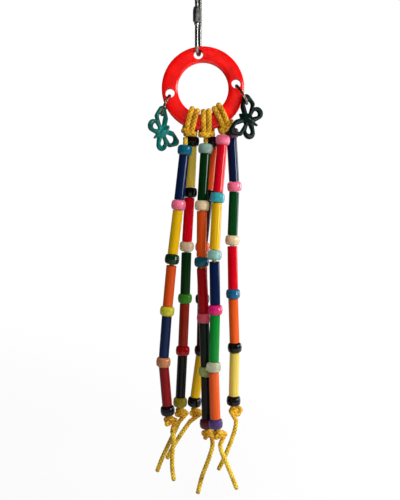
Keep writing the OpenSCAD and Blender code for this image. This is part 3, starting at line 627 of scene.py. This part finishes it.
def butterfly_distance(x, y, z):
    """Signed distance to the butterfly: flat plates with round edges and openings, blended
    with a spindle of revolution and its tail spike."""
    flat_x, flat_y = x[..., 0], np.abs(y[..., 0])
    plate = soft_min(from_band(wing_reach * fore_shares, flat_x, flat_y),
                     from_band(wing_reach * hind_shares, flat_x, flat_y), 0.6)
    for hole in (fore_hole_shares, hind_hole_shares):
        plate = np.maximum(plate, -from_band(wing_reach * hole, flat_x, flat_y))
    beside = plate[..., None] + wing_round
    above = np.abs(z) - wing_t / 2 + wing_round
    wings = (np.minimum(np.maximum(beside, above), 0) - wing_round
             + np.hypot(np.maximum(beside, 0), np.maximum(above, 0)))
    girth = np.hypot(y, body_slimness * z)
    body = np.hypot(x - body_x, girth + bulge_r - body_w / 2) - bulge_r
    spike = girth - np.interp(x, [tail_x - spike_l / 2, tail_x + spike_l / 2],
                              [body_w / 8, body_w / 4])
    spike = np.maximum(spike, np.abs(x - tail_x) - spike_l / 2)
    return soft_min(soft_min(wings, body, 0.6), spike, 0.5)


def paired(axis):
    """The slices of a grid that pair each of its points with the next one along an axis."""
    first, second = [slice(None)] * 3, [slice(None)] * 3
    first[axis], second[axis] = slice(None, -1), slice(1, None)
    return tuple(first), tuple(second)


def skinned(distance, low, high, step):
    """The zero surface of a distance on a grid, by surface nets: every cell that it passes
    through gets one vertex, the mean of its crossings with the cell's twelve edges, and every
    grid edge that it crosses gets a face between the four cells round it."""
    axes = [np.arange(a, b + step, step) for a, b in zip(low, high)]
    value = distance(*np.meshgrid(*axes, indexing="ij"))
    cells = tuple(n - 1 for n in value.shape)
    total, count = np.zeros((*cells, 3)), np.zeros(cells)
    for axis in range(3):
        rest = [k for k in range(3) if k != axis]
        first, second = paired(axis)
        a, b = value[first], value[second]
        crosses = (a < 0) != (b < 0)
        share = np.where(crosses, a / np.where(a == b, 1, a - b), 0)
        for i in (0, 1):
            for j in (0, 1):
                sides = [slice(0, n) for n in cells]
                sides[rest[0]] = slice(i, i + cells[rest[0]])
                sides[rest[1]] = slice(j, j + cells[rest[1]])
                hit, part = crosses[tuple(sides)], share[tuple(sides)]
                offset = np.zeros((*cells, 3))
                offset[..., axis] = part
                offset[..., rest[0]], offset[..., rest[1]] = i, j
                total += offset * hit[..., None]
                count += hit
    used = count > 0
    index = np.full(cells, -1)
    index[used] = np.arange(used.sum())
    corner = np.stack(np.nonzero(used), axis=-1)
    points = np.asarray(low) + step * (corner + total[used] / count[used][:, None])
    faces = []
    for axis in range(3):
        rest = [k for k in range(3) if k != axis]
        inner = [slice(None)] * 3
        inner[rest[0]] = inner[rest[1]] = slice(1, -1)
        block = value[tuple(inner)]
        first, second = paired(axis)
        inside, next_inside = block[first] < 0, block[second] < 0
        for edges, flip in ((inside & ~next_inside, axis == 1),
                            (~inside & next_inside, axis != 1)):
            around = []
            for i, j in ((0, 0), (1, 0), (1, 1), (0, 1)):
                cell = np.stack(np.nonzero(edges), -1)
                cell[:, rest[0]] += i
                cell[:, rest[1]] += j
                around.append(index[tuple(cell.T)])
            quad = np.stack(around, -1)
            faces.append(quad[:, ::-1] if flip else quad)
    return points, np.concatenate(faces)


def moulded_plastic(name, colours, roughness, shine, depth):
    """Moulded plastic: shine is the share of its mirror light, and depth is how far light
    passes into its edges, in millimetres."""
    material, tree, spot = new_material(name)
    flow = add(tree, "TexNoise", {"Scale": 120.0, "Detail": 2.0}, Vector=spot)
    scuff = add(tree, "TexNoise", {"Scale": 1400.0, "Detail": 5.0}, Vector=spot)
    tint = add(tree, "ValToRGB", {"stops": list(zip((0.3, 0.5, 0.7), colours))}, Fac=flow)
    dulling = (0.35, 0.7, roughness * 0.7, roughness * 1.4)
    dull = add(tree, "MapRange", zip(from_to, dulling), Value=scuff)
    wavy = add(tree, "Bump", {"Strength": 0.3, "Distance": 0.0003}, Height=flow)
    bump = add(tree, "Bump", {"Strength": 0.1, "Distance": 0.00005}, Height=scuff, Normal=wavy)
    settings = {"IOR": 1.45, "Specular IOR Level": shine, "Subsurface Weight": 0.2,
                "Subsurface Scale": depth * MM, "Subsurface Radius": (0.7, 1.0, 0.9)}
    shader = add(tree, "BsdfPrincipled", settings, Base_Color=tint, Roughness=dull, Normal=bump)
    add(tree, "OutputMaterial", Surface=shader)
    return material


# Teal: bright and a little see-through at its edges. Dark green: nearly black, and the green
# shows only where light grazes it.
butterfly_plastics = {
    "left": moulded_plastic("moulded polystyrene, teal, glossy",
                            ("#00443C", "#00665C", "#008C86"), 0.24, 0.3, 0.8),
    "right": moulded_plastic("moulded polystyrene, green-black, glossy",
                             ("#010A08", "#02140F", "#052A20"), 0.32, 0.1, 0.3)}
# How far each leans to the right and is turned about the vertical, in degrees, and its finish
butterfly_hangs = {"left": (-13, 44, "teal_plastic"), "right": (18.7, 207, "dark_green_plastic")}
hang_angle = np.radians(45)  # from the body's line to the line that each hangs along
hook_share = 0.05  # how far out on that line, in the opening, the split ring carries it
hook = wing_reach * np.array([*(fore_hole_shares[0, :2] + hook_share * np.sqrt(0.5)), 0])
grid_half, grid_step = np.array([10.5, 16.5, 3.3]), 0.2
butterfly_points, butterfly_faces = skinned(butterfly_distance, -grid_half, grid_half, grid_step)
for where, (side_lean, turn, finish) in butterfly_hangs.items():
    flat = turned_by(butterfly_points - hook, hang_angle)
    upright = np.stack([flat[:, 0], -flat[:, 2], flat[:, 1]], axis=-1)
    facing = turned_by(upright, np.radians(turn))
    points = facing @ leaning(side_lean, 0).T + butterfly_hooks[where]
    mesh = bpy.data.meshes.new("butterfly")
    mesh.from_pydata((points * MM).tolist(), [], butterfly_faces.tolist())
    mesh.shade_smooth()
    piece = placed(f"butterfly_{where}", mesh, butterfly_plastics[where],
                   f"{where}_butterfly")
    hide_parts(f"{where}_butterfly")

# The beads: moulded pony beads, 9.2 mm across and 6.5 mm high, barrels with round edges and a
# straight hole. A faint parting line runs round the middle of each.
bead_bore_d, bead_edge_r = 4.0, 1.9  # the edges are a little sharper than in the CAD source
hole_round, parting_rise, bead_roughness = 0.3, 0.17, 0.12
core_r, side_h = bead_d / 2 - bead_edge_r, bead_h - 2 * bead_edge_r
bend = np.linspace(0, np.pi / 2, 11)
round_edge = np.stack([core_r + bead_edge_r * np.cos(bend),
                       side_h / 2 + bead_edge_r * np.sin(bend)], -1)
bend = np.linspace(0, np.pi / 2, 5)
hole_edge = np.stack([bead_bore_d / 2 + hole_round * (1 - np.sin(bend)),
                      bead_h / 2 - hole_round * (1 - np.cos(bend))], -1)
parting_line = [[bead_d / 2 + parting_rise, 0.0], [bead_d / 2 + parting_rise - 0.03, 0.12]]
upper_bead = np.concatenate([parting_line, round_edge[:-1], hole_edge,
                             [[bead_bore_d / 2, bead_h / 4]]])
bead_profile = np.concatenate([upper_bead, [[bead_bore_d / 2, 0.0]],
                               (upper_bead * [1, -1])[:0:-1]])
bead_points = lathe(bead_profile, 48)


def turns_like(directions):
    """Turning matrices that bring -Z onto each direction: X stays level and Y follows."""
    z = -directions
    x = np.cross([0.0, 1.0, 0.0], z)
    x /= np.linalg.norm(x, axis=-1, keepdims=True)
    return np.stack([x, np.cross(z, x), z], axis=-1)


def bead_plastic(name, colour, clearness=0.0):
    """Bead plastic: an even moulded colour that pools darker and lighter by a tenth, with fine
    scuffs. Clearness is how much light passes through it, as it does in the pale ones."""
    material, tree, spot = new_material(name)
    flow = add(tree, "TexNoise", {"Scale": 260.0, "Detail": 2.0, "Distortion": 1.0}, Vector=spot)
    scuff = add(tree, "TexNoise", {"Scale": 2200.0, "Detail": 4.0}, Vector=spot)
    pooled = add(tree, "MapRange", zip(from_to, (0.3, 0.7, 0.86, 1.12)), Value=flow)
    tint = add(tree, "HueSaturation", {"Color": linear(colour)}, Value=pooled)
    dulling = (0.35, 0.7, bead_roughness * 0.7, bead_roughness * 1.5)
    dull = add(tree, "MapRange", zip(from_to, dulling), Value=scuff)
    bump = add(tree, "Bump", {"Strength": 0.1, "Distance": 0.00005}, Height=scuff)
    settings = {"IOR": 1.5, "Specular IOR Level": 0.35}
    if clearness:
        settings |= {"Transmission Weight": clearness, "Subsurface Weight": 0.25,
                     "Subsurface Scale": 0.0015, "Subsurface Radius": (1.0, 1.0, 1.0)}
    shader = add(tree, "BsdfPrincipled", settings, Base_Color=tint, Roughness=dull, Normal=bump)
    add(tree, "OutputMaterial", Surface=shader)
    return material


bead_colours = {
    "teal_blue": ("#04546E",), "pink": ("#E8708C", 0.15), "dark_green": ("#02260A",),
    "lime": ("#B8B028", 0.1), "tan": ("#B8764C", 0.1), "black": ("#070707",),
    "cream": ("#D4BC98", 0.1), "green": ("#2C7414",), "red": ("#8E0008",), "olive": ("#867810",),
    "sage": ("#7E9A8E", 0.1), "teal": ("#064250",), "dusky_pink": ("#B84456",),
    "light_green": ("#869450", 0.1), "maroon": ("#4A0818",), "turquoise": ("#3CA2AA", 0.25),
    "light_blue": ("#94C4BC", 0.4), "hot_pink": ("#C0145E",), "clear": ("#D0D4B8", 0.55),
    "violet": ("#48306A", 0.1), "purple": ("#5A2A50",), "blue": ("#065E84", 0.15),
    "orange": ("#D8501C",), "dark_purple": ("#1A0418",)}
bead_plastics = {key: bead_plastic(f"polystyrene pony bead, {key.replace('_', ' ')}", *finish)
                 for key, finish in bead_colours.items()}
bead_rows = [
    "teal_blue pink dark_green lime tan black", "black black cream green red olive",
    "sage cream teal dusky_pink light_green maroon",
    "dark_purple black orange black dark_purple black",
    "pink turquoise light_blue hot_pink clear violet", "purple pink cream blue black black"]
for n, row in enumerate(bead_rows):
    turns = turns_like(downs[n])
    for k, key in enumerate(row.split()):
        half = "upper" if k < 3 else "lower"
        points = bead_points @ turns[max(1, k)].T + bead_places[n, k]
        mesh = grid_mesh("bead", points, closed_along=True)
        mesh.set_sharp_from_angle(angle=np.radians(50))
        bead = placed(f"bead_{n + 1}_{k + 1}", mesh, bead_plastics[key],
                      f"strand_{n + 1}_{half}")
        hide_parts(f"strand_{n + 1}_{half}_beads")

# The tubes: extruded plastic tubing with a thin wall, cut to about 28 mm by hand, so that the
# ends are a little out of square. Each stands loosely between two beads.
tube_d, tube_bore_d, tube_roughness = 6.6, 5.5, 0.15
bend_seat = 0.6  # the extra room under the third bead, where the strand bends


def tube_plastic(name, colour):
    """Extruded plastic: drawn lines along the tube, a satin skin and, as the wall is thin, some
    light that comes through from inside."""
    material, tree, spot = new_material(name)
    stretch = add(tree, "Mapping", {"Scale": (60.0, 1.2, 1.0)}, Vector=add(tree, "UVMap"))
    drawn = add(tree, "TexNoise", {"Scale": 1.0, "Detail": 3.0}, Vector=stretch)
    cloud = add(tree, "TexNoise", {"Scale": 220.0, "Detail": 4.0}, Vector=spot)
    streaks = add(tree, "MapRange", zip(from_to, (0.3, 0.7, 0.82, 1.15)), Value=drawn)
    tint = add(tree, "HueSaturation", {"Color": linear(colour)}, Value=streaks)
    dulling = (0.3, 0.75, tube_roughness * 0.75, tube_roughness * 1.35)
    dull = add(tree, "MapRange", zip(from_to, dulling), Value=cloud)
    bump = add(tree, "Bump", {"Strength": 0.2, "Distance": 0.00006}, Height=drawn)
    settings = {"IOR": 1.45, "Specular IOR Level": 0.22, "Subsurface Weight": 0.1,
                "Subsurface Scale": 0.0006, "Subsurface Radius": (1.0, 0.8, 0.6)}
    shader = add(tree, "BsdfPrincipled", settings, Base_Color=tint, Roughness=dull, Normal=bump)
    add(tree, "OutputMaterial", Surface=shader)
    return material


tube_colours = {
    "navy": "#06183C", "yellow": "#CCA00A", "orange": "#C04410", "dark_red": "#780008",
    "red": "#C20016", "dark_green": "#02280A", "brown_red": "#7C1600", "crimson": "#8C000A",
    "black": "#070707", "green_black": "#04100A", "dark_brown": "#1E0A02",
    "dark_maroon": "#3A0808", "green": "#067A28", "bottle_green": "#023A16",
    "pale_yellow": "#D2BC54", "bright_orange": "#D65418", "straw": "#D8BC46"}
tube_plastics = {key: tube_plastic(f"extruded polythene tube, {key.replace('_', ' ')}", colour)
                 for key, colour in tube_colours.items()}
tube_rows = [
    "navy yellow orange navy dark_red", "straw red dark_green brown_red black",
    "dark_green orange crimson green_black black",
    "orange dark_brown orange dark_maroon yellow",
    "red yellow navy green bright_orange", "navy bottle_green red bright_orange pale_yellow"]

tube_reach = 0.15  # how far the ends reach into the play between bead and tube
cut_slope = 0.16  # how far a cut end may be out of square
tube_sides, tube_rings = 48, 12
angle = np.arange(tube_sides) * 2 * np.pi / tube_sides
outer_r, inner_r, wall_round = tube_d / 2, tube_bore_d / 2, (tube_d - tube_bore_d) / 8
radius = np.array([outer_r] * (tube_rings + 2)
                  + [outer_r - wall_round, inner_r + wall_round] + [inner_r] * 3
                  + [inner_r + wall_round, outer_r - wall_round])
across = np.tile(np.arange(tube_sides) / tube_sides, len(radius))
for n, row in enumerate(tube_rows):
    turns = turns_like(downs[n])
    for k, key in enumerate(row.split()):
        half = "upper" if k < 2 else "lower"
        top = bead_seat_h + (bend_seat if k == 2 else -tube_reach)
        length = tube_lengths[n, k] + bead_seat_h + tube_reach - top
        drop = top + np.array([wall_round, *np.linspace(0.5, length - 0.5, tube_rings),
                               length - wall_round, length, length, length - wall_round,
                               length / 2, wall_round, 0, 0])
        skew = cut_slope * np.sin(3.1 * n + 1.7 * k), cut_slope * np.cos(2.3 * n + 2.9 * k)
        cut = (skew[0] * np.cos(angle) + skew[1] * np.sin(angle)) * radius[:, None] / outer_r
        share = (drop - top) / length
        near_end = (2 * np.abs(share - 0.5))[:, None] ** 8
        sag = np.where(share[:, None] > 0.5, -np.abs(cut), np.abs(cut)) * near_end
        points = np.stack([radius[:, None] * np.cos(angle), radius[:, None] * np.sin(angle),
                           -drop[:, None] - sag], axis=-1)
        mesh = grid_mesh("tube", points @ turns[k + 1].T + bead_places[n, k], closed_along=True)
        corner = np.empty(len(mesh.loops), np.int32)
        mesh.loops.foreach_get("vertex_index", corner)
        down = np.repeat(share, tube_sides)[corner] + n + 0.13 * k
        pair = np.stack([across[corner], down], axis=-1).reshape(-1, 4, 2)
        wraps = (pair[..., 0].max(1) - pair[..., 0].min(1)) > 0.5
        pair[..., 0] += wraps[:, None] * (pair[..., 0] < 0.5)
        uv = mesh.uv_layers.new(name="UVMap")
        uv.data.foreach_set("uv", pair.ravel().astype(np.float32))
        mesh.set_sharp_from_angle(angle=np.radians(40))
        tube = placed(f"tube_{n + 1}_{k + 1}", mesh, tube_plastics[key],
                      f"strand_{n + 1}_{half}")
        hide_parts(f"strand_{n + 1}_{half}_tubes")

# The studio: a pale sweep of paper that lies under the toy and rises far behind it, so that
# the toy can be seen from all sides. Two soft lamps to the right give the highlights, and three
# fills and a weak surround soften the shadows. Sizes in metres.
floor_z, wall_y, sweep_r = -0.362, 2.2, 0.6
front_y, wall_top, paper_half = -1.8, 1.6, 2.2
bend = np.linspace(0, np.pi / 2, 17)
hollow = np.stack([wall_y - sweep_r + sweep_r * np.sin(bend),
                   floor_z + sweep_r - sweep_r * np.cos(bend)], -1)
sweep = np.concatenate([[[front_y, floor_z]], hollow, [[wall_y, wall_top]]])
points = np.stack([np.insert(sweep, 0, x, axis=1) for x in (-paper_half, paper_half)], 1)
paper = bpy.data.meshes.new("paper")
index = np.arange(2 * len(sweep)).reshape(-1, 2)
paper.from_pydata(points.reshape(-1, 3).tolist(), [], np.stack(
    [index[:-1, 0], index[:-1, 1], index[1:, 1], index[1:, 0]], -1).tolist())
paper.shade_smooth()
backdrop = bpy.data.objects.new("paper_sweep", paper)
bpy.context.scene.collection.objects.link(backdrop)

# White paper: the camera sees it as white. Its share of plain paper keeps the toy's shadow on
# the floor, and is less on the wall, which the lamps hardly reach.
white_paper, tree, spot = new_material("white background paper")
plain = add(tree, "BsdfDiffuse", {"Color": linear("#DADADA")})
shine = add(tree, "Emission", {"Color": linear("#FFFFFF"), "Strength": 1.03})
rays = add(tree, "LightPath")
parts = add(tree, "SeparateXYZ", Vector=spot)
white = add(tree, "MapRange", zip(from_to, (0.2, 0.9, 0.85, 0.98)), Value=parts.outputs["Y"])
share = add(tree, "Math", {"operation": "MULTIPLY"})
tree.links.new(rays.outputs["Is Camera Ray"], share.inputs[0])
tree.links.new(white.outputs[0], share.inputs[1])
mixed = add(tree, "MixShader", Fac=share)
tree.links.new(plain.outputs[0], mixed.inputs[1])
tree.links.new(shine.outputs[0], mixed.inputs[2])
add(tree, "OutputMaterial", Surface=mixed)
paper.materials.append(white_paper)

world = bpy.data.worlds.new("studio")
bpy.context.scene.world = world
world.use_nodes = True
tree = world.node_tree
tree.nodes.clear()
rays = add(tree, "LightPath")
seen = add(tree, "Math", {"operation": "MAXIMUM"})
tree.links.new(rays.outputs["Is Camera Ray"], seen.inputs[0])
tree.links.new(rays.outputs["Is Transmission Ray"], seen.inputs[1])
level = add(tree, "MapRange", zip(from_to, (0.0, 1.0, 0.06, 1.0)), Value=seen)
surround = add(tree, "Background", {"Color": linear("#FFFFFF")}, Strength=level)
add(tree, "OutputWorld", Surface=surround)


def soft_lamp(name, place, aim, size, power, shines=True):
    """A square softbox at a place in metres, turned to face a point. One that doesn't shine
    fills the shadows without a highlight of its own."""
    light = bpy.data.lights.new(name, "AREA")
    light.shape, light.size, light.energy = "SQUARE", size, power
    lamp = bpy.data.objects.new(name, light)
    bpy.context.scene.collection.objects.link(lamp)
    lamp.location = place
    lamp.visible_glossy = shines
    away = np.array(place) - np.array(aim)
    away = away / np.linalg.norm(away)
    lamp.rotation_euler = (np.arccos(away[2]), 0, np.arctan2(away[1], away[0]) + np.pi / 2)


toy_middle = (0, 0, -0.16)
soft_lamp("softbox_right", (0.75, -0.35, 0.0), toy_middle, 0.28, 5.5)
soft_lamp("strip_right", (0.55, 0.25, -0.1), toy_middle, 0.3, 2.0)
soft_lamp("fill_front", (0.15, -0.9, 0.1), toy_middle, 0.5, 2.6, shines=False)
soft_lamp("fill_back", (0.2, 0.95, 0.1), toy_middle, 0.5, 6.0, shines=False)
soft_lamp("fill_top", (0.0, -0.35, 0.6), toy_middle, 0.4, 3.0, shines=False)

bpy.context.scene.view_settings.view_transform = "Standard"
